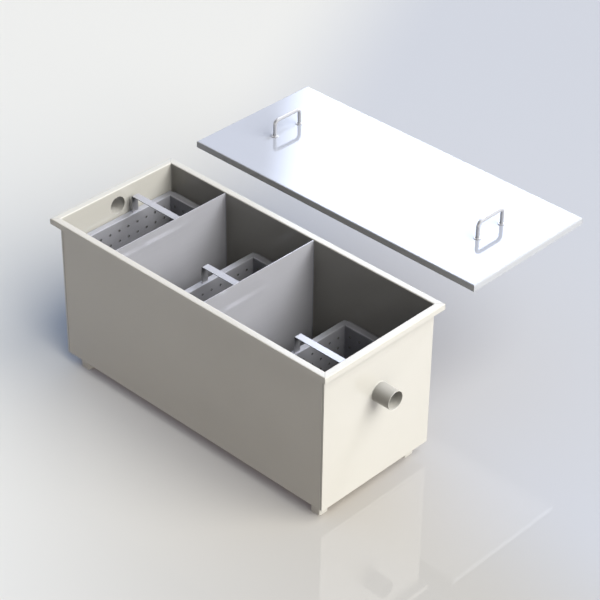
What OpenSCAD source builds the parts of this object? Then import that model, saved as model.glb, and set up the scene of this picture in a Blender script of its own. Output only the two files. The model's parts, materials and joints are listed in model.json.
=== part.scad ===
// Grease trap: a folded sheet-steel tank on four tube feet, with two baffles, three lift-out
// strainer baskets on wall ledges, an inlet and an outlet stub, and a lift-off lid set behind it.
// Water runs along +X, from the inlet panel to the outlet panel.

/* [Tank] */
// Length of the tank over its end panels
tank_l = 900; // [800:5:1300]
// Width of the tank over its long sides
tank_w = 375; // [300:5:500]
// Height of the tank from its underside to the top of its rim
tank_h = 410; // [390:5:600]
// Thickness of the tank's sheet
sheet_t = 1.5; // [1:0.1:3]
// Inside radius of the bends in the tank and the lid
bend_r = 1.5; // [0.8:0.1:3]
// Distance that the rim stands out from the tank's sides
rim_out = 18; // [12:1:30]
// Height of the rim's turned-down lip
lip_h = 16; // [10:1:25]

/* [Baffles] */
// Clear length of the first bay, from the inlet panel to the first baffle
first_bay = 200; // [140:5:260]
// Clear length of the second bay, between the baffles
second_bay = 306; // [290:2:360]
// Thickness of a baffle
baffle_t = 1.5; // [1:0.1:3]
// Distance from the rim's top down to a baffle's top edge
baffle_drop = 2; // [0:0.5:10]
// Height of the slot that lets water pass under a baffle
slot_h = 50; // [30:5:80]

/* [Stubs] */
// Outside diameter of the inlet and outlet stubs
stub_d = 50.8; // [38:0.1:64]
// Wall of a stub
stub_t = 1.5; // [1:0.1:3]
// Length of the inlet stub outside its panel
inlet_l = 38; // [20:1:80]
// Length of the outlet stub outside its panel
outlet_l = 52; // [20:1:80]
// Depth of the inlet's axis below the rim's top
inlet_drop = 45; // [42:1:70]
// Depth of the outlet's axis below the rim's top
outlet_drop = 155; // [120:5:220]

/* [Baskets] */
// Thickness of a basket's perforated sheet
basket_t = 1.2; // [0.8:0.1:2]
// Inside radius of a basket's bends
basket_bend_r = 1.2; // [0.8:0.1:2]
// Height of a basket
basket_h = 150; // [100:5:180]
// Width of a basket's rim, from its edge to the inside of its wall
basket_rim = 16; // [13:1:24]
// Clearance between a basket's rim and the long sides
side_gap = 8; // [2:0.5:10]
// Clearance between the first basket's rim and the ends of its bay
end_gap = 4; // [2:0.5:15]
// Clearance between the second basket's rim and the second baffle
second_gap = 8; // [2:1:40]
// Distance from the third basket's rim to the outlet panel
third_gap = 80; // [20:5:110]
// Depth of the first basket's rim below the tank's rim
first_drop = 78; // [70:1:90]
// Drop from each basket's rim to the next
drop_step = 50; // [0:5:55]
// Diameter of a perforation
hole_d = 6; // [3:0.5:12]
// Distance between perforations
hole_pitch = 31; // [20:1:50]
// Least distance from a perforation's centre to an edge of its wall
hole_edge = 16; // [10:1:30]
// Depth of the top row of perforations below the basket's rim
hole_drop = 28; // [20:1:40]

/* [Basket handles] */
// Height of a strap handle above its basket's rim
strap_h = 50; // [30:1:65]
// Width of a strap
strap_w = 20; // [12:1:30]
// Thickness of a strap
strap_t = 2; // [1:0.1:4]
// Inside radius of a strap's bends
strap_bend_r = 2; // [0.5:0.1:6]
// Distance from a basket's end to the outside of its strap
strap_inset = 8; // [4:0.5:12]
// Offset of the first strap from the middle, which keeps it clear of the inlet
first_strap_y = 47; // [0:1:100]

/* [Ledges] */
// Width of a ledge's shelf
ledge_w = 18; // [13:0.5:22]
// Height of a ledge's leg on the wall
ledge_h = 18; // [10:1:30]
// Thickness of a ledge
ledge_t = 2; // [1:0.1:3]
// Inside radius of a ledge's bend
ledge_bend_r = 2; // [0.5:0.1:4]
// Distance from a basket's end to its ledge's end
ledge_inset = 10; // [2:1:40]

/* [Feet] */
// Width of a square foot
foot_w = 30; // [20:1:60]
// Height of a foot
foot_h = 40; // [20:1:150]
// Wall of a foot
foot_t = 2; // [1:0.1:4]
// Outside corner radius of a foot
foot_r = 4; // [3:0.5:8]
// Distance from an end panel to a foot
foot_inset_x = 25; // [5:1:120]
// Distance from a long side to a foot
foot_inset_y = 20; // [5:1:60]

/* [Lid] */
// Thickness of the lid's sheet
lid_t = 1.5; // [1:0.1:3]
// Height of the lid, skirt included
lid_h = 18; // [12:0.5:30]
// Clearance between the lid's skirt and the rim's lip
lid_gap = 1; // [0.5:0.1:4]
// Space between the tank's rim and the lid behind it
lid_apart = 78; // [20:1:200]
// Height of the lid's skirt above the rim's top
lid_raise = 5; // [0:1:60]
// Distance that the lid lies towards the outlet
lid_slide = 18; // [-40:1:40]

/* [Lid handles] */
// Diameter of a lid handle's bar
bar_d = 10; // [6:0.5:14]
// Distance between the legs of a lid handle
bar_span = 92; // [70:1:160]
// Height of a lid handle above the lid
bar_h = 50; // [35:1:80]
// Radius of a lid handle's bends at the middle of the bar
bar_bend_r = 12; // [8:0.5:20]
// Distance from a lid handle to the lid's end
bar_inset = 126; // [60:1:250]
// Diameter of the collar under a handle's leg
collar_d = 18; // [15:0.5:26]
// Height of a collar
collar_h = 2; // [1:0.1:5]

/* [Hidden] */
$fn = 72;
// Margin by which a cutting shape passes the face that it cuts
over = 1;

// Tank, with z = 0 at its underside and x = y = 0 at its middle
outer_r = bend_r + sheet_t;
inside_l = tank_l - 2 * sheet_t;
inside_w = tank_w - 2 * sheet_t;
rim_reach = rim_out + sheet_t;
rim_l = tank_l + 2 * rim_out;
rim_w = tank_w + 2 * rim_out;
stub_r = stub_d / 2;
bore_r = stub_r - stub_t;

// Baffles, by the face towards the inlet
first_baffle_x = -inside_l / 2 + first_bay;
second_baffle_x = first_baffle_x + baffle_t + second_bay;

// Baskets, by the middle of the rim and the depth of its top
basket_l = first_bay - 2 * end_gap;
basket_w = inside_w - 2 * side_gap;
basket_in_l = basket_l - 2 * basket_rim;
basket_in_w = basket_w - 2 * basket_rim;
basket_outer_r = basket_bend_r + basket_t;
basket_x = [
    first_baffle_x - first_bay / 2,
    second_baffle_x - second_gap - basket_l / 2,
    inside_l / 2 - third_gap - basket_l / 2
];
basket_z = [for (i = [0:2]) tank_h - first_drop - i * drop_step];
strap_y = [first_strap_y, 0, 0];
strap_l = basket_l - 2 * strap_inset;

// Lid, by the middle of its skirt's lower edge
lid_outer_r = bend_r + lid_t;
lid_l = rim_l + 2 * (lid_gap + lid_t);
lid_w = rim_w + 2 * (lid_gap + lid_t);
lid_y = rim_w / 2 + lid_apart + lid_w / 2;
lid_z = tank_h + lid_raise;

// The row's frame: on the floor, under the middle of the tank and lid together
least_x = min(-tank_l / 2 - inlet_l, -rim_l / 2, lid_slide - lid_l / 2);
most_x = max(tank_l / 2 + outlet_l, rim_l / 2, lid_slide + lid_l / 2);
middle_x = (least_x + most_x) / 2;
middle_y = (lid_y + lid_w / 2 - rim_w / 2) / 2;

cream = [0.90, 0.88, 0.82];
steel = [0.68, 0.68, 0.71];
polished = [0.80, 0.81, 0.84];

// Places its children, drawn about the tank's middle and underside, in the row's frame
module in_row() {
    translate([-middle_x, -middle_y, foot_h]) children();
}

// Section of a quarter bend in sheet t, from +x round to +y
module bend_section(r, t) {
    intersection() {
        difference() {
            circle(r + t);
            circle(r);
        }
        square(r + t);
    }
}

// A folded edge: its section, drawn with x outwards and y up, runs along X and is mitred at
// 45 degrees. It is run long at x = 0, and its section lies between x = near and x = far.
module mitred_edge(run, near, far, low, high) {
    near_x = near - over;
    far_x = far + over;
    intersection() {
        rotate([90, 0, 90])
            linear_extrude(run + 2 * far_x, center = true) children();
        translate([0, 0, low - over])
            linear_extrude(high - low + 2 * over)
                polygon([
                    [-run / 2 - near_x, near_x], [run / 2 + near_x, near_x],
                    [run / 2 + far_x, far_x], [-run / 2 - far_x, far_x]
                ]);
    }
}

// A rectangle with round corners, about the origin
module round_rectangle(l, w, r) {
    square([l - 2 * r, w], center = true);
    square([l, w - 2 * r], center = true);
    for (x = [-1, 1], y = [-1, 1])
        translate([x * (l / 2 - r), y * (w / 2 - r)]) circle(r);
}

// Tank

// Section of the rim: out from the wall's inside at x = 0, then down in a lip
module rim_section() {
    translate([outer_r, -outer_r]) mirror([1, 0]) bend_section(bend_r, sheet_t);
    translate([outer_r, -sheet_t]) square([rim_reach - 2 * outer_r, sheet_t]);
    translate([rim_reach - outer_r, -outer_r]) bend_section(bend_r, sheet_t);
    translate([rim_reach - sheet_t, -lip_h]) square([sheet_t, lip_h - outer_r]);
}

module rim_edge(run) {
    translate([0, 0, tank_h])
        mitred_edge(run, 0, rim_reach, -lip_h, 0) rim_section();
}

// Section of the long sides and the floor, folded from one sheet
module wrap_section() {
    translate([-tank_w / 2 + outer_r, 0]) square([tank_w - 2 * outer_r, sheet_t]);
    for (side = [0, 1])
        mirror([side, 0]) {
            translate([tank_w / 2 - outer_r, outer_r]) mirror([0, 1]) bend_section(bend_r, sheet_t);
            translate([tank_w / 2 - sheet_t, outer_r]) square([sheet_t, tank_h - 2 * outer_r]);
        }
}

module tank_wrap() {
    color(cream) in_row() {
        rotate([90, 0, 90]) linear_extrude(inside_l, center = true) wrap_section();
        for (side = [0, 1])
            mirror([0, side, 0])
                translate([0, inside_w / 2, 0]) rim_edge(inside_l);
    }
}

// Outline of an end panel below its rim, which covers the ends of the folded sheet
module panel_outline() {
    translate([-tank_w / 2, outer_r]) square([tank_w, tank_h - 2 * outer_r]);
    translate([-tank_w / 2 + outer_r, 0]) square([tank_w - 2 * outer_r, outer_r]);
    for (side = [-1, 1])
        translate([side * (tank_w / 2 - outer_r), outer_r]) circle(outer_r);
}

// An end panel that faces +X, with its stub's hole at depth drop below the rim
module end_panel(drop) {
    translate([inside_l / 2, 0, 0])
        difference() {
            rotate([90, 0, 90]) linear_extrude(sheet_t) panel_outline();
            translate([-over, 0, tank_h - drop])
                rotate([0, 90, 0]) cylinder(h = sheet_t + 2 * over, r = bore_r);
        }
    translate([inside_l / 2, 0, 0]) rotate([0, 0, -90]) rim_edge(inside_w);
}

module inlet_panel() {
    color(cream) in_row() mirror([1, 0, 0]) end_panel(inlet_drop);
}

module outlet_panel() {
    color(cream) in_row() end_panel(outlet_drop);
}

// A stub on the outside of the panel that faces +X
module stub(length, drop) {
    translate([tank_l / 2, 0, tank_h - drop])
        rotate([0, 90, 0])
            difference() {
                cylinder(h = length, r = stub_r);
                translate([0, 0, -over]) cylinder(h = length + 2 * over, r = bore_r);
            }
}

module inlet_stub() {
    color(cream) in_row() mirror([1, 0, 0]) stub(inlet_l, inlet_drop);
}

module outlet_stub() {
    color(cream) in_row() stub(outlet_l, outlet_drop);
}

// A baffle between the long sides, with its inlet face at x
module baffle(x) {
    translate([x, -inside_w / 2, slot_h])
        cube([baffle_t, inside_w, tank_h - baffle_drop - slot_h]);
}

module first_baffle() {
    color(steel) in_row() baffle(first_baffle_x);
}

module second_baffle() {
    color(steel) in_row() baffle(second_baffle_x);
}

// A foot at one corner: side_x and side_y are -1 or 1
module foot(side_x, side_y) {
    translate([
        side_x * (tank_l / 2 - foot_inset_x - foot_w / 2),
        side_y * (tank_w / 2 - foot_inset_y - foot_w / 2),
        -foot_h
    ])
        difference() {
            linear_extrude(foot_h) round_rectangle(foot_w, foot_w, foot_r);
            translate([0, 0, foot_t])
                linear_extrude(foot_h)
                    round_rectangle(foot_w - 2 * foot_t, foot_w - 2 * foot_t, foot_r - foot_t);
        }
}

module front_inlet_foot() {
    color(cream) in_row() foot(-1, -1);
}

module front_outlet_foot() {
    color(cream) in_row() foot(1, -1);
}

module rear_inlet_foot() {
    color(cream) in_row() foot(-1, 1);
}

module rear_outlet_foot() {
    color(cream) in_row() foot(1, 1);
}

// Baskets

// Section of a basket's side: rim, wall and the turn into the floor, with the wall's inside at x = 0
module basket_section() {
    translate([basket_outer_r, -basket_t]) square([basket_rim - basket_outer_r, basket_t]);
    translate([basket_outer_r, -basket_outer_r]) mirror([1, 0]) bend_section(basket_bend_r, basket_t);
    translate([0, -basket_h + basket_outer_r]) square([basket_t, basket_h - 2 * basket_outer_r]);
    translate([-basket_bend_r, -basket_h + basket_outer_r])
        mirror([0, 1]) bend_section(basket_bend_r, basket_t);
}

module basket_side(run) {
    mitred_edge(run, -basket_bend_r, basket_rim, -basket_h, 0) basket_section();
}

// Evenly pitched places, about the middle of a wall of this length
function hole_places(length) =
    let (last = floor((length - 2 * hole_edge) / hole_pitch))
    [for (i = [0:last]) (i - last / 2) * hole_pitch];

// Depths of the rows of perforations in a basket's walls
hole_rows = [for (z = [hole_drop:hole_pitch:basket_h - hole_edge]) z];

module perforations() {
    for (y = hole_places(basket_in_w), z = hole_rows)
        translate([0, y, -z]) rotate([0, 90, 0]) cylinder(h = basket_l, d = hole_d, center = true);
    for (x = hole_places(basket_in_l), z = hole_rows)
        translate([x, 0, -z]) rotate([90, 0, 0]) cylinder(h = basket_w, d = hole_d, center = true);
    for (x = hole_places(basket_in_l), y = hole_places(basket_in_w))
        translate([x, y, -basket_h - over]) cylinder(h = basket_t + 2 * over, d = hole_d);
}

// A basket folded from one perforated sheet, with its corners mitred
module basket(i) {
    floor_l = basket_in_l - 2 * basket_bend_r;
    floor_w = basket_in_w - 2 * basket_bend_r;
    translate([basket_x[i], 0, basket_z[i]])
        difference() {
            union() {
                translate([-floor_l / 2, -floor_w / 2, -basket_h]) cube([floor_l, floor_w, basket_t]);
                for (turn = [0, 180]) {
                    rotate([0, 0, turn]) translate([0, basket_in_w / 2, 0]) basket_side(basket_in_l);
                    rotate([0, 0, turn + 90]) translate([0, basket_in_l / 2, 0]) basket_side(basket_in_w);
                }
            }
            perforations();
        }
}

module first_basket() {
    color(steel) in_row() basket(0);
}

module second_basket() {
    color(steel) in_row() basket(1);
}

module third_basket() {
    color(steel) in_row() basket(2);
}

// Section of a strap handle, standing on y = 0
module strap_section() {
    strap_outer_r = strap_bend_r + strap_t;
    translate([-strap_l / 2 + strap_outer_r, strap_h - strap_t])
        square([strap_l - 2 * strap_outer_r, strap_t]);
    for (side = [0, 1])
        mirror([side, 0]) {
            translate([strap_l / 2 - strap_outer_r, strap_h - strap_outer_r])
                bend_section(strap_bend_r, strap_t);
            translate([strap_l / 2 - strap_t, 0]) square([strap_t, strap_h - strap_outer_r]);
        }
}

// The strap handle that stands on the rim of basket i
module strap(i) {
    translate([basket_x[i], strap_y[i], basket_z[i]])
        rotate([90, 0, 0]) linear_extrude(strap_w, center = true) strap_section();
}

module first_basket_handle() {
    color(polished) in_row() strap(0);
}

module second_basket_handle() {
    color(polished) in_row() strap(1);
}

module third_basket_handle() {
    color(polished) in_row() strap(2);
}

// Section of a ledge: a shelf out from the wall at x = 0 and a leg down the wall
module ledge_section() {
    ledge_outer_r = ledge_bend_r + ledge_t;
    translate([ledge_outer_r, -ledge_t]) square([ledge_w - ledge_outer_r, ledge_t]);
    translate([ledge_outer_r, -ledge_outer_r]) mirror([1, 0]) bend_section(ledge_bend_r, ledge_t);
    translate([0, -ledge_h]) square([ledge_t, ledge_h - ledge_outer_r]);
}

// The ledge under the rim of basket i, on the front wall (side -1) or the rear wall (side 1)
module ledge(i, side) {
    translate([basket_x[i], side * inside_w / 2, basket_z[i] - basket_t])
        rotate([90, 0, -side * 90])
            linear_extrude(basket_l - 2 * ledge_inset, center = true) ledge_section();
}

module first_ledge_front() {
    color(steel) in_row() ledge(0, -1);
}

module first_ledge_rear() {
    color(steel) in_row() ledge(0, 1);
}

module second_ledge_front() {
    color(steel) in_row() ledge(1, -1);
}

module second_ledge_rear() {
    color(steel) in_row() ledge(1, 1);
}

module third_ledge_front() {
    color(steel) in_row() ledge(2, -1);
}

module third_ledge_rear() {
    color(steel) in_row() ledge(2, 1);
}

// Lid

// Places its children, drawn on the middle of the lid's top face
module on_lid() {
    in_row() translate([lid_slide, lid_y, lid_z + lid_h]) children();
}

// Section of the lid's edge: over the bend at x = 0 and down the skirt
module skirt_section() {
    translate([0, -lid_outer_r]) bend_section(bend_r, lid_t);
    translate([lid_outer_r - lid_t, -lid_h]) square([lid_t, lid_h - lid_outer_r]);
}

module skirt_edge(run) {
    mitred_edge(run, 0, lid_outer_r, -lid_h, 0) skirt_section();
}

// A pan folded from one sheet, open below
module lid() {
    top_l = lid_l - 2 * lid_outer_r;
    top_w = lid_w - 2 * lid_outer_r;
    color(polished) on_lid() {
        translate([-top_l / 2, -top_w / 2, -lid_t]) cube([top_l, top_w, lid_t]);
        for (turn = [0, 180]) {
            rotate([0, 0, turn]) translate([0, top_w / 2, 0]) skirt_edge(top_l);
            rotate([0, 0, turn + 90]) translate([0, top_l / 2, 0]) skirt_edge(top_w);
        }
    }
}

// A handle of bent round bar that stands on its collars, its legs apart along Y
module bar_handle() {
    leg_top = bar_h - bar_d / 2 - bar_bend_r;
    crown_l = bar_span - 2 * bar_bend_r;
    for (side = [0, 1])
        mirror([0, side, 0]) {
            translate([0, bar_span / 2, collar_h]) cylinder(h = leg_top - collar_h, d = bar_d);
            translate([0, crown_l / 2, leg_top])
                rotate([90, 0, 90])
                    rotate_extrude(angle = 90) translate([bar_bend_r, 0]) circle(d = bar_d);
        }
    translate([0, 0, leg_top + bar_bend_r])
        rotate([90, 0, 0]) cylinder(h = crown_l, d = bar_d, center = true);
}

module inlet_lid_handle() {
    color(polished) on_lid() translate([-lid_l / 2 + bar_inset, 0, 0]) bar_handle();
}

module outlet_lid_handle() {
    color(polished) on_lid() translate([lid_l / 2 - bar_inset, 0, 0]) bar_handle();
}

// The collars between the handles' legs and the lid
module lid_handle_collars() {
    color(polished) on_lid()
        for (x = [-1, 1], y = [-1, 1])
            translate([x * (lid_l / 2 - bar_inset), y * bar_span / 2, 0])
                cylinder(h = collar_h, d = collar_d);
}

tank_wrap();
inlet_panel();
outlet_panel();
inlet_stub();
outlet_stub();
first_baffle();
second_baffle();
first_basket();
second_basket();
third_basket();
first_basket_handle();
second_basket_handle();
third_basket_handle();
first_ledge_front();
first_ledge_rear();
second_ledge_front();
second_ledge_rear();
third_ledge_front();
third_ledge_rear();
front_inlet_foot();
front_outlet_foot();
rear_inlet_foot();
rear_outlet_foot();
lid();
inlet_lid_handle();
outlet_lid_handle();
lid_handle_collars();
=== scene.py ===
import json
import math

import bmesh
import bpy
from mathutils import Matrix, Vector


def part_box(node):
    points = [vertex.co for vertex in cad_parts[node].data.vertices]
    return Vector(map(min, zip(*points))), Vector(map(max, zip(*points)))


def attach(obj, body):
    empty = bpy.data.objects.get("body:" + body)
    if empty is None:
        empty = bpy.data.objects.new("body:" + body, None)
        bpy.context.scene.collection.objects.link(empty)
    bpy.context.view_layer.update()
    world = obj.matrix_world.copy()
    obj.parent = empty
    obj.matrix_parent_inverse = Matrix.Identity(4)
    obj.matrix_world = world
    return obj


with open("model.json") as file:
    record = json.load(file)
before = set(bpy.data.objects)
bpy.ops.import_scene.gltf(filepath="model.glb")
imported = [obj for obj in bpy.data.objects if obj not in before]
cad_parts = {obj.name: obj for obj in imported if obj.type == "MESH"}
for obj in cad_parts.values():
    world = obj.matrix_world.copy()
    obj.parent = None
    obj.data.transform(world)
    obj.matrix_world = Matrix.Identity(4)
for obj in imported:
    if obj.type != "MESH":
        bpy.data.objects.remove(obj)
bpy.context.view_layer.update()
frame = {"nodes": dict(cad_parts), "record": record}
nodes = frame["nodes"]
ordinals = ("first", "second", "third")    # the baskets, from the inlet on
xAxis, yAxis, zAxis = (Vector(row) for row in Matrix.Identity(3))
print("frame loaded:", len(nodes), "nodes")

scene = bpy.context.scene
scene.view_settings.view_transform = "Standard"


# camera, at the photograph's angle

cameraSet = {
    "azimuth": 43.40,    # degrees round from the front
    "elevation": 34.90,
    "roll": 0.82,
    "aim": (0.0, -0.050, 0.238),
    "distance": 5.331,
    "lens": 127.0,
    "sensor": 36.0,
}


def makeCamera(s):
    azimuth, elevation, roll = (math.radians(s[k]) for k in ("azimuth", "elevation", "roll"))
    side = Vector((math.cos(azimuth), math.sin(azimuth), 0.0))
    depth = zAxis.cross(side)
    back = zAxis * math.sin(elevation) - depth * math.cos(elevation)
    turned = (-back).to_track_quat("-Z", "Y").to_matrix() @ Matrix.Rotation(roll, 3, "Z")
    data = bpy.data.cameras.new("photoCamera")
    data.lens = s["lens"]
    data.sensor_width = s["sensor"]
    camera = bpy.data.objects.new("photoCamera", data)
    camera.matrix_world = turned.to_4x4()
    camera.location = Vector(s["aim"]) + back * s["distance"]
    scene.collection.objects.link(camera)
    scene.camera = camera
    return side, depth


# level ways along the picture's width, and away from the camera's side
pictureSide, pictureDepth = makeCamera(cameraSet)
print("camera placed")


# small helpers for node trees

def newMaterial(name):
    material = bpy.data.materials.new(name)
    material.use_nodes = True
    tree = material.node_tree
    return material, tree, tree.nodes["Principled BSDF"]


def addNode(tree, kind, inputs=None, **settings):
    node = tree.nodes.new(kind)
    for key, value in settings.items():
        setattr(node, key, value)
    for key, value in (inputs or {}).items():
        if isinstance(value, bpy.types.NodeSocket):
            tree.links.new(value, node.inputs[key])
        else:
            node.inputs[key].default_value = value
    return node


def addMath(tree, operation, *values):
    node = addNode(tree, "ShaderNodeMath", dict(enumerate(values)), operation=operation)
    return node.outputs["Value"]


def addVectorMath(tree, operation, *values, result="Vector"):
    node = addNode(tree, "ShaderNodeVectorMath", dict(enumerate(values)), operation=operation)
    return node.outputs[result]


def smoothStep(tree, value, start, end, top=1.0):
    node = addNode(tree, "ShaderNodeMapRange",
                   {"Value": value, "From Min": start, "From Max": end, "To Max": top},
                   interpolation_type="SMOOTHSTEP")
    return node.outputs["Result"]


def mixTone(tree, factor, first, second):
    node = addNode(tree, "ShaderNodeMix", {0: factor}, data_type="RGBA")
    for slot, tone in ((6, first), (7, second)):    # a Mix node's two colour sockets
        if isinstance(tone, bpy.types.NodeSocket):
            tree.links.new(tone, node.inputs[slot])
        else:
            node.inputs[slot].default_value = (*tone, 1.0)
    return node.outputs[2]


def objectPlace(tree):
    return addNode(tree, "ShaderNodeTexCoord").outputs["Object"]


def splitAxes(tree, vector):
    return addNode(tree, "ShaderNodeSeparateXYZ", {0: vector}).outputs


def addBump(tree, height, strength, distance):
    bump = addNode(tree, "ShaderNodeBump", {"Height": height, "Strength": strength, "Distance": distance})
    return bump.outputs["Normal"]


def newGroup(name, sockets):
    group = bpy.data.node_groups.new(name, "ShaderNodeTree")
    for label, way, kind in sockets:
        group.interface.new_socket(label, in_out=way, socket_type="NodeSocket" + kind)
    return group, group.nodes.new("NodeGroupInput").outputs, group.nodes.new("NodeGroupOutput").inputs


def useGroup(tree, group, **inputs):
    return addNode(tree, "ShaderNodeGroup", inputs, node_tree=group).outputs


# shared surface effects

grainSet = {"detail": 4.0, "roughness": 0.65, "streakScale": 0.12, "streakDetail": 2.0, "strength": 0.4}


def makeGrainGroup(s):
    # fine lines along one direction, as rolling and brushing leave on sheet
    group, given, out = newGroup("brushGrain", [
        ("Vector", "INPUT", "Vector"), ("Stretch", "INPUT", "Vector"),
        ("Height", "OUTPUT", "Float"), ("Streak", "OUTPUT", "Float")])
    drawn = addVectorMath(group, "MULTIPLY", given["Vector"], given["Stretch"])
    fine = addNode(group, "ShaderNodeTexNoise", {
        "Vector": drawn, "Scale": 1.0, "Detail": s["detail"], "Roughness": s["roughness"]})
    broad = addNode(group, "ShaderNodeTexNoise", {
        "Vector": drawn, "Scale": s["streakScale"], "Detail": s["streakDetail"]})
    group.links.new(fine.outputs["Fac"], out["Height"])
    group.links.new(broad.outputs["Fac"], out["Streak"])
    return group


handlingSet = {"detail": 3.0, "roughness": 0.55, "distortion": 0.4, "span": (0.3, 0.7)}


def makeHandlingGroup(s):
    # soft uneven patches that handling and wiping leave in a finish
    group, given, out = newGroup("handlingMarks", [
        ("Vector", "INPUT", "Vector"), ("Scale", "INPUT", "Float"),
        ("Low", "INPUT", "Float"), ("High", "INPUT", "Float"),
        ("Patches", "OUTPUT", "Float"), ("Roughness", "OUTPUT", "Float")])
    cloud = addNode(group, "ShaderNodeTexNoise", {
        "Vector": given["Vector"], "Scale": given["Scale"], "Detail": s["detail"],
        "Roughness": s["roughness"], "Distortion": s["distortion"]})
    span = {"Value": cloud.outputs["Fac"], "From Min": s["span"][0], "From Max": s["span"][1]}
    spread = addNode(group, "ShaderNodeMapRange", span)
    rough = addNode(group, "ShaderNodeMapRange", {**span, "To Min": given["Low"], "To Max": given["High"]})
    group.links.new(spread.outputs["Result"], out["Patches"])
    group.links.new(rough.outputs["Result"], out["Roughness"])
    return group


holeSet = {
    "pitch": 0.031,
    "drop": 0.028,     # from the rim to the top row
    "edge": 0.016,     # least way from a corner to a hole
    "rim": 0.016,      # width of the basket's rim
    "radius": 0.003,
    "ring": 0.0010,    # how far the painted shade reaches round a hole
    "rows": 4,
    "slack": 0.001,    # so that rounding loses no hole
    # painted shade round and inside each hole, standing in for the shade in the gap behind the wall
    "tone": (0.24, 0.24, 0.255),
}


def makeHoleShadeGroup(s):
    # painted shade on the edge and bore of holes that stand in rows in a basket's walls; At is one hole of
    # the top row
    group, given, out = newGroup("paintedHoleShade", [
        ("Vector", "INPUT", "Vector"), ("At", "INPUT", "Vector"), ("PaintedShade", "OUTPUT", "Float")])
    offset = addVectorMath(group, "SUBTRACT", given["Vector"], given["At"])
    half = s["pitch"] / 2
    nearest = addVectorMath(group, "WRAP", offset, (half,) * 3, (-half,) * 3)
    reaches = []
    for across in ((0.0, 1.0, 1.0), (1.0, 0.0, 1.0)):
        flat = addVectorMath(group, "MULTIPLY", nearest, across)
        reaches.append(addVectorMath(group, "LENGTH", flat, result="Value"))
    ring = smoothStep(group, addMath(group, "MINIMUM", *reaches), s["radius"] + s["ring"], s["radius"])
    halfRows = (s["rows"] - 1) * half
    height = splitAxes(group, offset)["Z"]
    wall = addMath(group, "COMPARE", height, -halfRows, halfRows + 2 * s["radius"])
    group.links.new(addMath(group, "MULTIPLY", ring, wall), out["PaintedShade"])
    return group


grainGroup = makeGrainGroup(grainSet)
handlingGroup = makeHandlingGroup(handlingSet)
holeShadeGroup = makeHoleShadeGroup(holeSet)


def useMarks(tree, place, s):
    return useGroup(tree, handlingGroup, Vector=place, Scale=s["patchScale"],
                    Low=s["roughness"][0], High=s["roughness"][1])


def dimBounce(tree, tone, share):
    # the full tone for the eye, less of it for light passed on inside the tank
    path = addNode(tree, "ShaderNodeLightPath").outputs
    dim = addNode(tree, "ShaderNodeVectorMath", {0: tone, "Scale": share}, operation="SCALE")
    return mixTone(tree, path["Is Diffuse Ray"], tone, dim.outputs["Vector"])


# finishes

creamSet = {
    "tone": (0.80, 0.775, 0.695),
    "shade": (0.775, 0.75, 0.67),
    "patchScale": 3.0,
    "roughness": (0.36, 0.46),
    "peelScale": 520.0,    # fine orange peel of the baked coat
    "peelDetail": 2.0,
    "peelStrength": 0.35,
    "peelDepth": 0.00006,
    "specular": 0.5,
    "coat": 1.0,
    "coatRoughness": 0.14,
    "coatIor": 1.5,
    "bounce": 0.05,
}


def makeCreamCoat(name, s):
    material, tree, shader = newMaterial(name)
    place = objectPlace(tree)
    marks = useMarks(tree, place, s)
    tone = mixTone(tree, marks["Patches"], s["tone"], s["shade"])
    if "bore" in s:    # inside a pipe the tone stays the tank's; the painted shade is only on the outside
        flat = addVectorMath(tree, "MULTIPLY", place, (0.0, 1.0, 1.0))
        reach = addVectorMath(tree, "DISTANCE", flat, s["bore"]["axis"], result="Value")
        inside = addMath(tree, "LESS_THAN", reach, s["bore"]["radius"])
        tone = mixTone(tree, inside, tone, creamSet["tone"])
    tree.links.new(dimBounce(tree, tone, s["bounce"]), shader.inputs["Base Color"])
    tree.links.new(marks["Roughness"], shader.inputs["Roughness"])
    shader.inputs["Specular IOR Level"].default_value = s["specular"]
    shader.inputs["Coat Weight"].default_value = s["coat"]
    shader.inputs["Coat Roughness"].default_value = s["coatRoughness"]
    shader.inputs["Coat IOR"].default_value = s["coatIor"]
    peel = addNode(tree, "ShaderNodeTexNoise", {
        "Vector": place, "Scale": s["peelScale"], "Detail": s["peelDetail"]}).outputs["Fac"]
    tree.links.new(addBump(tree, peel, s["peelStrength"], s["peelDepth"]), shader.inputs["Normal"])
    return material


polishDepth = 0.0003    # how far below the lid's flat its polish ends

steelSets = {
    "millSteel": {
        "tone": (0.765, 0.765, 0.81), "shade": (0.70, 0.70, 0.745), "metallic": 0.28, "bounce": 0.1,
        "roughness": (0.02, 0.04), "patchScale": 6.0,
        "stretch": (900.0, 30.0, 900.0), "grainDepth": 0.000002,
    },
    "basketSteel": {
        "tone": (0.62, 0.62, 0.655), "shade": (0.55, 0.55, 0.585), "metallic": 0.25, "bounce": 0.13,
        "roughness": (0.32, 0.45), "patchScale": 9.0,
        "stretch": (900.0, 40.0, 900.0), "grainDepth": 0.00003,
    },
    "strapSteel": {
        "tone": (0.63, 0.63, 0.66), "shade": (0.60, 0.60, 0.63), "metallic": 0.4, "bounce": 0.3,
        "roughness": (0.20, 0.26), "patchScale": 14.0,
        "stretch": (40.0, 1200.0, 1200.0), "grainDepth": 0.000004,
    },
    "lidSteel": {
        # the flat's bluish tone is partly the steel's own and partly a painted reflection of the pale
        # blue-grey studio
        "tone": (0.655, 0.685, 0.755), "shade": (0.635, 0.665, 0.735), "metallic": 0.25, "bounce": 0.3,
        "roughness": (0.05, 0.09), "patchScale": 3.5,
        "stretch": (25.0, 1400.0, 1400.0), "grainDepth": 0.000004,
        "skirt": {"below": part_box("lid")[1].z - polishDepth, "tone": (0.66, 0.675, 0.70),
                  "metallic": 0.12, "roughness": 0.42},
    },
    "barSteel": {
        "tone": (0.74, 0.74, 0.75), "shade": (0.71, 0.71, 0.72), "metallic": 0.45, "bounce": 0.3,
        "roughness": (0.10, 0.15), "patchScale": 20.0,
        "stretch": (600.0, 600.0, 600.0), "grainDepth": 0.00001,
    },
}


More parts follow.
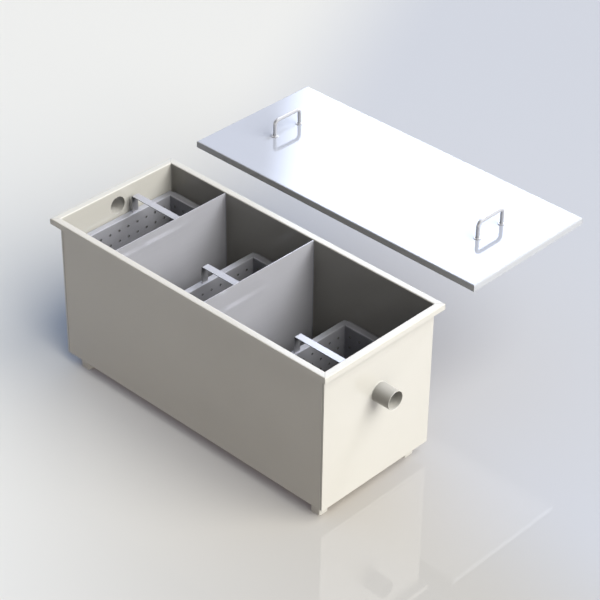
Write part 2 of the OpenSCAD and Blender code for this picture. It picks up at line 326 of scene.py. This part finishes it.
def makeSteel(name, s):
    material, tree, shader = newMaterial(name)
    shader.inputs["Metallic"].default_value = s["metallic"]
    place = objectPlace(tree)
    marks = useMarks(tree, place, s)
    grain = useGroup(tree, grainGroup, Vector=place, Stretch=s["stretch"])
    blend = addMath(tree, "MULTIPLY", marks["Patches"], grain["Streak"])
    tone = mixTone(tree, blend, s["tone"], s["shade"])
    if "holeAt" in s:
        # painted shade round and inside the basket's holes
        edge = useGroup(tree, holeShadeGroup, Vector=place, At=s["holeAt"])["PaintedShade"]
        tone = mixTone(tree, edge, tone, s["holeShade"])
    if "skirt" in s:    # the folded skirt is left satin, only the flat is polished
        flat = addMath(tree, "GREATER_THAN", splitAxes(tree, place)["Z"], s["skirt"]["below"])
        tone = mixTone(tree, flat, s["skirt"]["tone"], tone)
        for key, polished in (("Metallic", s["metallic"]), ("Roughness", marks["Roughness"])):
            level = addNode(tree, "ShaderNodeMix", {0: flat, 2: s["skirt"][key.lower()], 3: polished})
            tree.links.new(level.outputs[0], shader.inputs[key])
    else:
        tree.links.new(marks["Roughness"], shader.inputs["Roughness"])
    tree.links.new(dimBounce(tree, tone, s["bounce"]), shader.inputs["Base Color"])
    bump = addBump(tree, grain["Height"], grainSet["strength"], s["grainDepth"])
    tree.links.new(bump, shader.inputs["Normal"])
    return material


def makeBasketSteel(ordinal, s):
    # holes are counted out from the middle of a wall, where an even count leaves a gap
    low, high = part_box(ordinal + "_basket")
    holeAt = (low + high) / 2
    holeAt.z = high.z - s["drop"]
    for axis in (0, 1):
        inside = high[axis] - low[axis] - 2 * s["rim"]
        gaps = math.floor((inside - 2 * s["edge"]) / s["pitch"] + s["slack"])
        holeAt[axis] += gaps % 2 * s["pitch"] / 2
    # the holes' painted shade goes in with the steel
    return makeSteel(ordinal + "Basket", dict(steelSets["basketSteel"], holeAt=holeAt, holeShade=s["tone"]))


# painted shade: the stubs' outsides get a darker, less glossy cream than the panels, so that they read as
# less lit
stubShadeSet = dict(creamSet, tone=(0.61, 0.59, 0.53), shade=(0.585, 0.565, 0.505), coat=0.4)
stubShadeSkin = 0.001    # how deep from the outside the painted shade reaches


def makeStubShade(node, s):
    low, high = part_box(node)
    axis = (0.0, (low.y + high.y) / 2, (low.z + high.z) / 2)
    bore = {"axis": axis, "radius": (high.z - low.z) / 2 - stubShadeSkin}
    return makeCreamCoat(node.replace("_s", "S"), dict(s, bore=bore))


# a darker cream for the seams: partly the joints' own line, partly painted shade of the open gap along them
seamShadeSet = dict(creamSet, tone=(0.60, 0.58, 0.52), shade=(0.54, 0.52, 0.46), roughness=(0.5, 0.6))

finishes = {
    "creamCoat": makeCreamCoat("creamCoat", creamSet),
    "creamSeamShade": makeCreamCoat("creamSeamShade", seamShadeSet),
}
for name, steelSet in steelSets.items():
    finishes[name] = makeSteel(name, steelSet)
for ordinal in ordinals:
    finishes[ordinal + "_basket"] = makeBasketSteel(ordinal, holeSet)
# painted shade on the stubs' outsides
for node in ("inlet_stub", "outlet_stub"):
    finishes[node] = makeStubShade(node, stubShadeSet)

slotFinish = {
    "tank_paint": "creamCoat", "plate_steel": "millSteel", "basket_steel": "basketSteel",
    "strap_steel": "strapSteel", "lid_steel": "lidSteel", "bar_steel": "barSteel",
}
for part in frame["record"]["subparts"]:
    mesh = nodes[part["node"]].data
    mesh.materials.clear()
    mesh.materials.append(finishes.get(part["node"], finishes[slotFinish[part["material_slot"]]]))
print("finishes made:", len(finishes))


# welds and seams

tankLow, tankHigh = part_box("tank_wrap")
bayLow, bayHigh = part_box("first_baffle")
panelEnds = (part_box("inlet_stub")[1].x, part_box("outlet_stub")[0].x)    # outer faces of the end panels
sheet = 0.0015

weldSet = {
    "sides": 14,            # round a bead
    "endShare": 0.7,        # of a bead's rise, dressed off its ends
    "endSteps": 3,
    "hollowSteps": 4,       # across a fillet
    "merge": 0.000005,
    "smoothUnder": 38.0,    # degrees
}


def newPiece(name, bm, finish):
    bmesh.ops.remove_doubles(bm, verts=bm.verts, dist=weldSet["merge"])
    bmesh.ops.recalc_face_normals(bm, faces=bm.faces)
    mesh = bpy.data.meshes.new(name)
    bm.to_mesh(mesh)
    bm.free()
    mesh.shade_smooth()
    mesh.set_sharp_from_angle(angle=math.radians(weldSet["smoothUnder"]))
    mesh.materials.append(finishes[finish])
    piece = bpy.data.objects.new(name, mesh)
    scene.collection.objects.link(piece)
    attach(piece, "root")


def roundEdges(bm, edges, offset, segments):
    bmesh.ops.bevel(bm, geom=edges, offset=offset, affect="EDGES", segments=segments, profile=0.5,
                    material=-1)


def spinFull(bm, geom, centre, axis, steps):
    bmesh.ops.spin(bm, geom=geom, cent=centre, axis=axis, angle=2 * math.pi, steps=steps, use_merge=True)


def bead(bm, start, end, out, half, rise):
    # a low rounded strip on a face, with its ends dressed down
    run = end - start
    along = run.normalized()
    turn = Matrix((along.cross(out) * half, out * rise, along)).transposed().to_4x4()
    made = bmesh.ops.create_cone(bm, cap_ends=True, segments=weldSet["sides"], radius1=1.0, radius2=1.0,
                                 depth=run.length, matrix=Matrix.Translation((start + end) / 2) @ turn)
    caps = {f for v in made["verts"] for f in v.link_faces if len(f.verts) > 4}
    edges = list({e for f in caps for e in f.edges})
    roundEdges(bm, edges, rise * weldSet["endShare"], weldSet["endSteps"])


def filletLoop(bm, corner, legA, legB, size):
    # the hollow section of a weld between two faces that meet at corner
    first = bm.verts.new(corner + legA * size)
    known = set(bm.verts)
    turned = bmesh.ops.spin(bm, geom=[first], cent=corner + (legA + legB) * size, axis=legB.cross(legA),
                            angle=math.pi / 2, steps=weldSet["hollowSteps"])
    last = turned["geom_last"][0]
    root = bm.verts.new(corner)
    verts = [first, root] + [v for v in bm.verts if v not in known and v is not root]
    edges = list({e for v in verts for e in v.link_edges})
    for end in (first, last):
        edges.append(bm.edges.new((end, root)))
    return verts, edges


def fillet(bm, start, end, legA, legB, size):
    edges = filletLoop(bm, start, legA, legB, size)[1]
    face = bmesh.ops.contextual_create(bm, geom=edges)["faces"]
    made = bmesh.ops.extrude_face_region(bm, geom=face)["geom"]
    bmesh.ops.translate(bm, verts=[v for v in made if isinstance(v, bmesh.types.BMVert)], vec=end - start)


def filletRing(bm, corner, legA, legB, size, centre, axis, steps):
    verts, edges = filletLoop(bm, corner, legA, legB, size)
    spinFull(bm, verts + edges, centre, axis, steps)


cornerSet = {"half": 0.0013, "rise": 0.0007, "inset": 0.0080, "foot": 0.003, "under": 0.006,
             "toe": {"half": 0.0013, "rise": 0.0002, "inset": 0.0048}}


def makeCornerWelds(s):
    # the end panels' edges, welded to the long sides and dressed, with a darker toe line beside each bead
    # that is partly the joint's own line and partly painted shade of its gap
    for name, finish, line in (("cornerWelds", "creamCoat", s), ("cornerToes", "creamSeamShade", s["toe"])):
        bm = bmesh.new()
        for x, inwards in zip(panelEnds, (1, -1)):
            for y, side in ((bayLow.y, -1), (bayHigh.y, 1)):
                low = Vector((x + inwards * line["inset"], y + side * sheet, tankLow.z + s["foot"]))
                high = Vector((low.x, low.y, tankHigh.z - s["under"]))
                bead(bm, low, high, yAxis * side, line["half"], line["rise"])
        newPiece(name, bm, finish)


insideSet = {"size": 0.0025, "top": 0.004}


def makeInsideWelds(s):
    # the same joints from inside, and the joints between the panels and the floor
    bm = bmesh.new()
    floor = tankLow.z + sheet
    for x, inwards in zip(panelEnds, (1, -1)):
        face = x + inwards * sheet
        for y, side in ((bayLow.y, 1), (bayHigh.y, -1)):
            fillet(bm, Vector((face, y, floor)), Vector((face, y, tankHigh.z - s["top"])),
                   xAxis * inwards, yAxis * side, s["size"])
        fillet(bm, Vector((face, bayLow.y, floor)), Vector((face, bayHigh.y, floor)),
               xAxis * inwards, zAxis, s["size"])
    newPiece("insideWelds", bm, "creamCoat")


mitreSet = {"half": 0.0006, "rise": 0.00025, "lipHalf": 0.0007, "lip": 0.016, "bend": 0.003, "sink": 0.6}


def makeMitreSeams(s):
    # the dressed lines across the rim's corners and down its lip, in the darker seam cream: partly the
    # joints' own line, partly painted shade of the open mitre
    bm = bmesh.new()
    for x, inwards in zip(panelEnds, (1, -1)):
        for y, side in ((bayLow.y, -1), (bayHigh.y, 1)):
            rimX = tankHigh.x if inwards < 0 else tankLow.x
            rimY = tankHigh.y if side > 0 else tankLow.y
            slant = Vector((-inwards, side, 0.0))
            inner = Vector((x + inwards * sheet, y, tankHigh.z)) + slant * s["bend"]
            outer = Vector((rimX, rimY, tankHigh.z)) - slant * s["bend"]
            bead(bm, inner, outer, zAxis, s["half"], s["rise"])
            top = Vector((rimX, rimY, tankHigh.z - s["bend"])) - slant * s["lipHalf"] * s["sink"]
            foot = top - zAxis * (s["lip"] - s["bend"])
            bead(bm, foot, top, slant.normalized(), s["lipHalf"], s["lipHalf"])
    newPiece("mitreSeams", bm, "creamSeamShade")


stubSet = {"weld": 0.0020, "steps": 72, "wall": 0.0015, "lipSides": 10}


def makeStubWelds(s):
    # a weld round each stub's root, and the deburred round of its mouth
    bm = bmesh.new()
    for node, out in (("inlet_stub", -1), ("outlet_stub", 1)):
        low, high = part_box(node)
        centre = (low + high) / 2
        radius = (high.z - low.z) / 2
        rootX, mouthX = (low.x, high.x) if out > 0 else (high.x, low.x)
        filletRing(bm, Vector((rootX, centre.y, centre.z + radius)), zAxis, xAxis * out, s["weld"],
                   centre, xAxis, s["steps"])
        half = s["wall"] / 2
        upright = Matrix.Rotation(math.pi / 2, 4, "X")
        place = Matrix.Translation((mouthX, centre.y, centre.z + radius - half)) @ upright
        lip = bmesh.ops.create_circle(bm, segments=s["lipSides"], radius=half, matrix=place)["verts"]
        loop = lip + list({e for v in lip for e in v.link_edges})
        spinFull(bm, loop, centre, xAxis, s["steps"])
    newPiece("stubWelds", bm, "creamCoat")


footSet = {"spread": 0.003, "drop": 0.003, "round": 0.006, "roundSteps": 6, "toeShare": 0.95, "toeSteps": 4}


def makeFootWelds(s):
    # a weld round the top of each foot, under the tank's floor
    bm = bmesh.new()
    for node in ("front_inlet_foot", "front_outlet_foot", "rear_inlet_foot", "rear_outlet_foot"):
        low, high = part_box(node)
        size = high - low
        size.z = s["drop"]
        centre = (low + high) / 2
        centre.z = high.z - s["drop"] / 2
        spread = Vector((2 * s["spread"], 2 * s["spread"], 0.0))
        made = bmesh.ops.create_cube(bm, size=1.0, matrix=Matrix.LocRotScale(centre, None, size + spread))
        uprights = [e for e in {e for v in made["verts"] for e in v.link_edges}
                    if abs(e.verts[0].co.z - e.verts[1].co.z) > s["drop"] / 2]
        roundEdges(bm, uprights, s["round"], s["roundSteps"])
    undersides = [f for f in bm.faces if round(f.normal.z) == -1]
    toes = list({e for f in undersides for e in f.edges})
    roundEdges(bm, toes, s["spread"] * s["toeShare"], s["toeSteps"])
    newPiece("footWelds", bm, "creamCoat")


baffleSet = {"size": 0.0022, "inset": 0.002}


def makeBaffleWelds(s):
    # slim welds up both edges of each baffle, on both of its faces
    bm = bmesh.new()
    for node in ("first_baffle", "second_baffle"):
        low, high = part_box(node)
        for x, facing in ((low.x, -1), (high.x, 1)):
            for y, side in ((low.y, 1), (high.y, -1)):
                fillet(bm, Vector((x, y, low.z + s["inset"])), Vector((x, y, high.z - s["inset"])),
                       xAxis * facing, yAxis * side, s["size"])
    newPiece("baffleWelds", bm, "millSteel")


basketSet = {"rim": holeSet["rim"], "corner": 0.0018, "floor": 0.0012, "half": 0.0006, "rise": 0.0002,
             "inset": 0.004}


def makeBasketSeams(s):
    # welds up the inside corners of each basket, and the mitres of its rim
    bm = bmesh.new()
    for ordinal in ordinals:
        low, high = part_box(ordinal + "_basket")
        for edgeX, towardsX in ((low.x, 1), (high.x, -1)):
            for edgeY, towardsY in ((low.y, 1), (high.y, -1)):
                slant = Vector((towardsX, towardsY, 0.0))
                corner = Vector((edgeX, edgeY, 0.0)) + slant * s["rim"]
                fillet(bm, corner + zAxis * (low.z + s["floor"]), corner + zAxis * (high.z - s["inset"]),
                       xAxis * towardsX, yAxis * towardsY, s["corner"])
                top = Vector((edgeX, edgeY, high.z))
                bead(bm, top + slant * s["half"], top + slant * (s["rim"] - s["inset"]), zAxis,
                     s["half"], s["rise"])
    newPiece("basketSeams", bm, "basketSteel")


strapSet = {"thick": 0.002, "size": 0.002, "inset": 0.0008}


def makeStrapWelds(s):
    # a weld on each side of a strap's legs, along the basket's rim
    bm = bmesh.new()
    for ordinal in ordinals:
        low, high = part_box(ordinal + "_basket_handle")
        faces = ((low.x, -1), (low.x + s["thick"], 1), (high.x - s["thick"], -1), (high.x, 1))
        for x, facing in faces:
            fillet(bm, Vector((x, low.y + s["inset"], low.z)), Vector((x, high.y - s["inset"], low.z)),
                   xAxis * facing, zAxis, s["size"])
    newPiece("strapWelds", bm, "strapSteel")


ledgeSet = {"size": 0.0025, "stitch": 0.024, "places": (-0.065, 0.0, 0.065)}


def makeLedgeWelds(s):
    # three stitches under each ledge's leg
    bm = bmesh.new()
    for ordinal in ordinals:
        for row, side in (("front", 1), ("rear", -1)):
            low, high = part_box(f"{ordinal}_ledge_{row}")
            wall = low.y if side > 0 else high.y
            for place in s["places"]:
                start = Vector(((low.x + high.x - s["stitch"]) / 2 + place, wall, low.z))
                fillet(bm, start, start + xAxis * s["stitch"], yAxis * side, -zAxis, s["size"])
    newPiece("ledgeWelds", bm, "millSteel")


barSet = {"radius": 0.005, "weld": 0.0014, "seat": 0.0009, "steps": 40}


def makeBarWelds(s):
    # a weld round each leg of the lid's handles, and one round its collar
    bm = bmesh.new()
    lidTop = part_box("lid")[1].z
    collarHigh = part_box("lid_handle_collars")[1]
    for node in ("inlet_lid_handle", "outlet_lid_handle"):
        low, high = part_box(node)
        collar = collarHigh.y - high.y + s["radius"]
        for y in (low.y + s["radius"], high.y - s["radius"]):
            leg = Vector(((low.x + high.x) / 2, y, 0.0))
            for radius, height, size in ((s["radius"], collarHigh.z, s["weld"]), (collar, lidTop, s["seat"])):
                corner = leg + xAxis * radius + zAxis * height
                filletRing(bm, corner, xAxis, zAxis, size, leg, zAxis, s["steps"])
    newPiece("barWelds", bm, "barSteel")


lidSet = {"half": 0.0008, "bend": 0.003, "sink": 0.6}


def makeLidSeams(s):
    # the closed corners of the lid's skirt
    bm = bmesh.new()
    low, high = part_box("lid")
    for x, outX in ((low.x, -1), (high.x, 1)):
        for y, outY in ((low.y, -1), (high.y, 1)):
            slant = Vector((outX, outY, 0.0))
            foot = Vector((x, y, low.z + s["half"])) - slant * s["half"] * s["sink"]
            top = foot + zAxis * (high.z - low.z - s["bend"])
            bead(bm, foot, top, slant.normalized(), s["half"], s["half"])
    newPiece("lidSeams", bm, "lidSteel")


makeCornerWelds(cornerSet)
makeInsideWelds(insideSet)
makeMitreSeams(mitreSet)
makeStubWelds(stubSet)
makeFootWelds(footSet)
makeBaffleWelds(baffleSet)
makeBasketSeams(basketSet)
makeStrapWelds(strapSet)
makeLedgeWelds(ledgeSet)
makeBarWelds(barSet)
makeLidSeams(lidSet)
print("welds and seams made")


# floor, lights and surroundings

floorSet = {
    "size": 24.0,
    "side": pictureSide,
    "depth": pictureDepth,
    "right": (0.90, 0.435, 0.0),       # the two ways into the painted floor shade
    "behind": (0.118, 0.993, 0.0),
    "front": (0.62, 0.561, 0.448),
    "left": (0.875, 0.812, 0.675),
    "back": (0.898, 0.823, 0.667),
    "floorShade": (0.667, 0.640, 0.585),     # painted shade, darker and bluer, behind the tank and to the right, where the tank and the lid shade the floor
    "frontToLeft": (0.136, -1.156),
    "frontToBack": (-0.496, 1.809),
    "floorShadeRight": (-0.742, -0.19),
    "floorShadeBehind": (-0.307, 0.165),
    "even": (0.034, 0.016, 0.009),     # keeps the shadow under the tank open
    "fill": (0.376, 0.353, 0.344),     # what the floor gives back to matt surfaces
    "specular": 0.85,
    "roughness": 0.012,
}


def stagePiece(name, bm):
    mesh = bpy.data.meshes.new(name)
    bm.to_mesh(mesh)
    bm.free()
    thing = bpy.data.objects.new(name, mesh)
    scene.collection.objects.link(thing)
    return thing


def plainGrid(name, size):
    bm = bmesh.new()
    bmesh.ops.create_grid(bm, x_segments=1, y_segments=1, size=size / 2)
    return stagePiece(name, bm)


def makeFloor(s):
    floor = plainGrid("studioFloor", s["size"])
    material, tree, shader = newMaterial("paleFloor")
    material.cycles.emission_sampling = "NONE"
    place = objectPlace(tree)

    def along(way, ends):
        reach = addVectorMath(tree, "DOT_PRODUCT", place, s[way], result="Value")
        return smoothStep(tree, reach, *s[ends])

    # painted shade of the tank and lid on the floor behind them
    floorShade = addMath(tree, "MULTIPLY", along("right", "floorShadeRight"), along("behind", "floorShadeBehind"))
    tone = mixTone(tree, along("side", "frontToLeft"), s["front"], s["left"])
    tone = mixTone(tree, along("depth", "frontToBack"), tone, s["back"])
    tone = mixTone(tree, floorShade, tone, s["floorShade"])
    diffuse = addNode(tree, "ShaderNodeLightPath").outputs["Is Diffuse Ray"]
    tree.links.new(mixTone(tree, diffuse, tone, (0.0, 0.0, 0.0)), shader.inputs["Base Color"])
    tree.links.new(mixTone(tree, diffuse, s["even"], s["fill"]), shader.inputs["Emission Color"])
    shader.inputs["Emission Strength"].default_value = 1.0
    shader.inputs["Roughness"].default_value = s["roughness"]
    shader.inputs["Specular IOR Level"].default_value = s["specular"]
    floor.data.materials.append(material)
    return floor


def makeReceivers(floor):
    # the floor alone, and all but the floor, so that each has lamps of its own
    groups = {}
    for name, state in (("floor", "INCLUDE"), ("object", "EXCLUDE")):
        group = bpy.data.collections.new(name + "Receivers")
        group.objects.link(floor)
        group.collection_objects[0].light_linking.link_state = state
        groups[name] = group
    return groups


receivers = makeReceivers(makeFloor(floorSet))

lampSets = {
    "keyLamp": {"kind": "SUN", "on": "object", "from": (0.72, 0.25, 0.64), "spread": 54.0,
                "strength": 3.4, "colour": (1.0, 0.995, 0.985)},
    "topLamp": {"kind": "SUN", "on": "object", "from": (0.10, 0.55, 0.83), "spread": 16.0,
                "strength": 1.2, "colour": (0.92, 0.97, 1.13)},
    "rightStrip": {"kind": "AREA", "on": "object", "from": (3.4, -0.2, 0.41), "size": (4.5, 0.8),
                   "strength": 20.5, "colour": (1.0, 0.985, 0.965)},
    "lidBounce": {"kind": "AREA", "on": "object", "from": (0.011, 0.2445, 0.01), "size": (0.90, 0.38),
                  "strength": 1.5, "colour": (1.0, 0.98, 0.96), "up": True},
    "floorKey": {"kind": "SUN", "on": "floor", "from": (0.715, 0.06, 0.645), "spread": 66.0,
                 "strength": 3.87, "colour": (1.0, 1.0, 1.0)},
    "floorDome": {"kind": "SUN", "on": "floor", "from": (0.0, 0.0, 1.0), "spread": 165.0,
                  "strength": 1.89, "colour": (0.326, 0.543, 1.0)},
}


def makeLamp(name, s):
    data = bpy.data.lights.new(name, s["kind"])
    data.energy = s["strength"]
    data.color = s["colour"]
    lamp = bpy.data.objects.new(name, data)
    towards = Vector(s["from"])
    if s["kind"] == "SUN":
        data.angle = math.radians(s["spread"])
    else:    # a softbox, upright on the floor or lying on it
        data.shape = "RECTANGLE"
        data.size, data.size_y = s["size"]
        lamp.location = towards
        towards.z = 0.0
    if s.get("up"):
        towards = -zAxis
    lamp.rotation_euler = towards.to_track_quat("Z", "Y").to_euler()
    lamp.visible_glossy = False    # polish sees the card, the dome and the world instead
    lamp.light_linking.receiver_collection = receivers[s["on"]]
    scene.collection.objects.link(lamp)


for name, lampSet in lampSets.items():
    makeLamp(name, lampSet)


def glowFinish(thing, name):
    # a clear glow that only the object's polish sees; setGlow gives it its colour and strength
    thing.visible_camera = False
    thing.visible_diffuse = False
    thing.visible_shadow = False
    thing.light_linking.receiver_collection = receivers["object"]
    material, tree, shader = newMaterial(name)
    material.cycles.emission_sampling = "NONE"
    tree.nodes.remove(shader)
    thing.data.materials.append(material)

    def setGlow(colour, strength):
        glow = addNode(tree, "ShaderNodeEmission", {"Color": colour, "Strength": strength})
        clear = addNode(tree, "ShaderNodeBsdfTransparent")
        both = addNode(tree, "ShaderNodeAddShader", {0: clear.outputs[0], 1: glow.outputs[0]})
        tree.links.new(both.outputs[0], tree.nodes["Material Output"].inputs["Surface"])

    return tree, objectPlace(tree), setGlow


# a white card behind the lid; its left edge fades
cardSet = {
    "edge": (-2.256, 2.120),    # floor point under the card's left edge
    "width": 3.4,
    "height": (0.02, 4.1),
    "slant": 0.13,
    "fade": 0.2,
    "fadeHeight": 2.0,          # where the slanted fade starts right at the edge
    "glow": 2.4,
    "colour": (0.87, 0.96, 1.13),
}


def makeCard(s):
    card = plainGrid("lidCard", 1.0)
    low, high = s["height"]
    centre = Vector((*s["edge"], (low + high) / 2)) + pictureSide * s["width"] / 2
    facing = pictureSide.cross(zAxis)
    turn = Matrix((pictureSide * s["width"], zAxis * (high - low), facing)).transposed().to_4x4()
    card.data.transform(Matrix.Translation(centre) @ turn)
    tree, place, setGlow = glowFinish(card, "cardGlow")
    rising = pictureSide + zAxis * s["slant"]
    reach = addVectorMath(tree, "DOT_PRODUCT", place, rising, result="Value")
    start = Vector((*s["edge"], s["fadeHeight"])).dot(rising)
    setGlow((*s["colour"], 1.0), smoothStep(tree, reach, start, start + s["fade"], s["glow"]))


makeCard(cardSet)

horizonAt = (0.2, 0.5)    # heights between which the pale horizon gives way to the dome

# the pale studio above, which the object's polish sees and the floor's does not
domeSet = {
    "radius": 11.0,
    "subdivisions": 4,
    "dark": (0.05, 0.05, 0.055),    # towards the front
    "pale": (0.68, 0.70, 0.78),     # behind
    "turnAt": (-0.35, 0.25),
}


def makeDome(s):
    bm = bmesh.new()
    bmesh.ops.create_icosphere(bm, subdivisions=s["subdivisions"], radius=s["radius"])
    dome = stagePiece("studioDome", bm)
    tree, place, setGlow = glowFinish(dome, "domeGlow")
    way = splitAxes(tree, place)
    turn = smoothStep(tree, way["Y"], *(end * s["radius"] for end in s["turnAt"]))
    rise = smoothStep(tree, way["Z"], *(end * s["radius"] for end in horizonAt))
    setGlow(mixTone(tree, turn, s["dark"], s["pale"]), rise)


makeDome(domeSet)

worldSet = {
    "ambient": (0.034, 0.032, 0.03),    # fill on matt surfaces
    "mirror": (0.05, 0.05, 0.055),      # what the polished floor sees above
    "horizon": (0.80, 0.80, 0.82),      # what all polish sees low down
    "backdrop": (0.80, 0.80, 0.82),     # what the camera sees past the floor
}


def makeWorld(s):
    world = bpy.data.worlds.new("studioWorld")
    world.use_nodes = True
    scene.world = world
    tree = world.node_tree
    tree.nodes.clear()
    path = addNode(tree, "ShaderNodeLightPath").outputs
    sharp = addMath(tree, "MAXIMUM", path["Is Glossy Ray"], path["Is Transmission Ray"])
    way = addNode(tree, "ShaderNodeTexCoord").outputs["Generated"]
    rise = smoothStep(tree, splitAxes(tree, way)["Z"], *horizonAt)
    seen = mixTone(tree, rise, s["horizon"], s["mirror"])
    colour = mixTone(tree, sharp, s["ambient"], seen)
    colour = mixTone(tree, path["Is Camera Ray"], colour, s["backdrop"])
    back = addNode(tree, "ShaderNodeBackground", {"Color": colour, "Strength": 1.0})
    out = addNode(tree, "ShaderNodeOutputWorld")
    tree.links.new(back.outputs[0], out.inputs["Surface"])


makeWorld(worldSet)
print("studio lit:", len(lampSets), "lamps, a card and a dome")
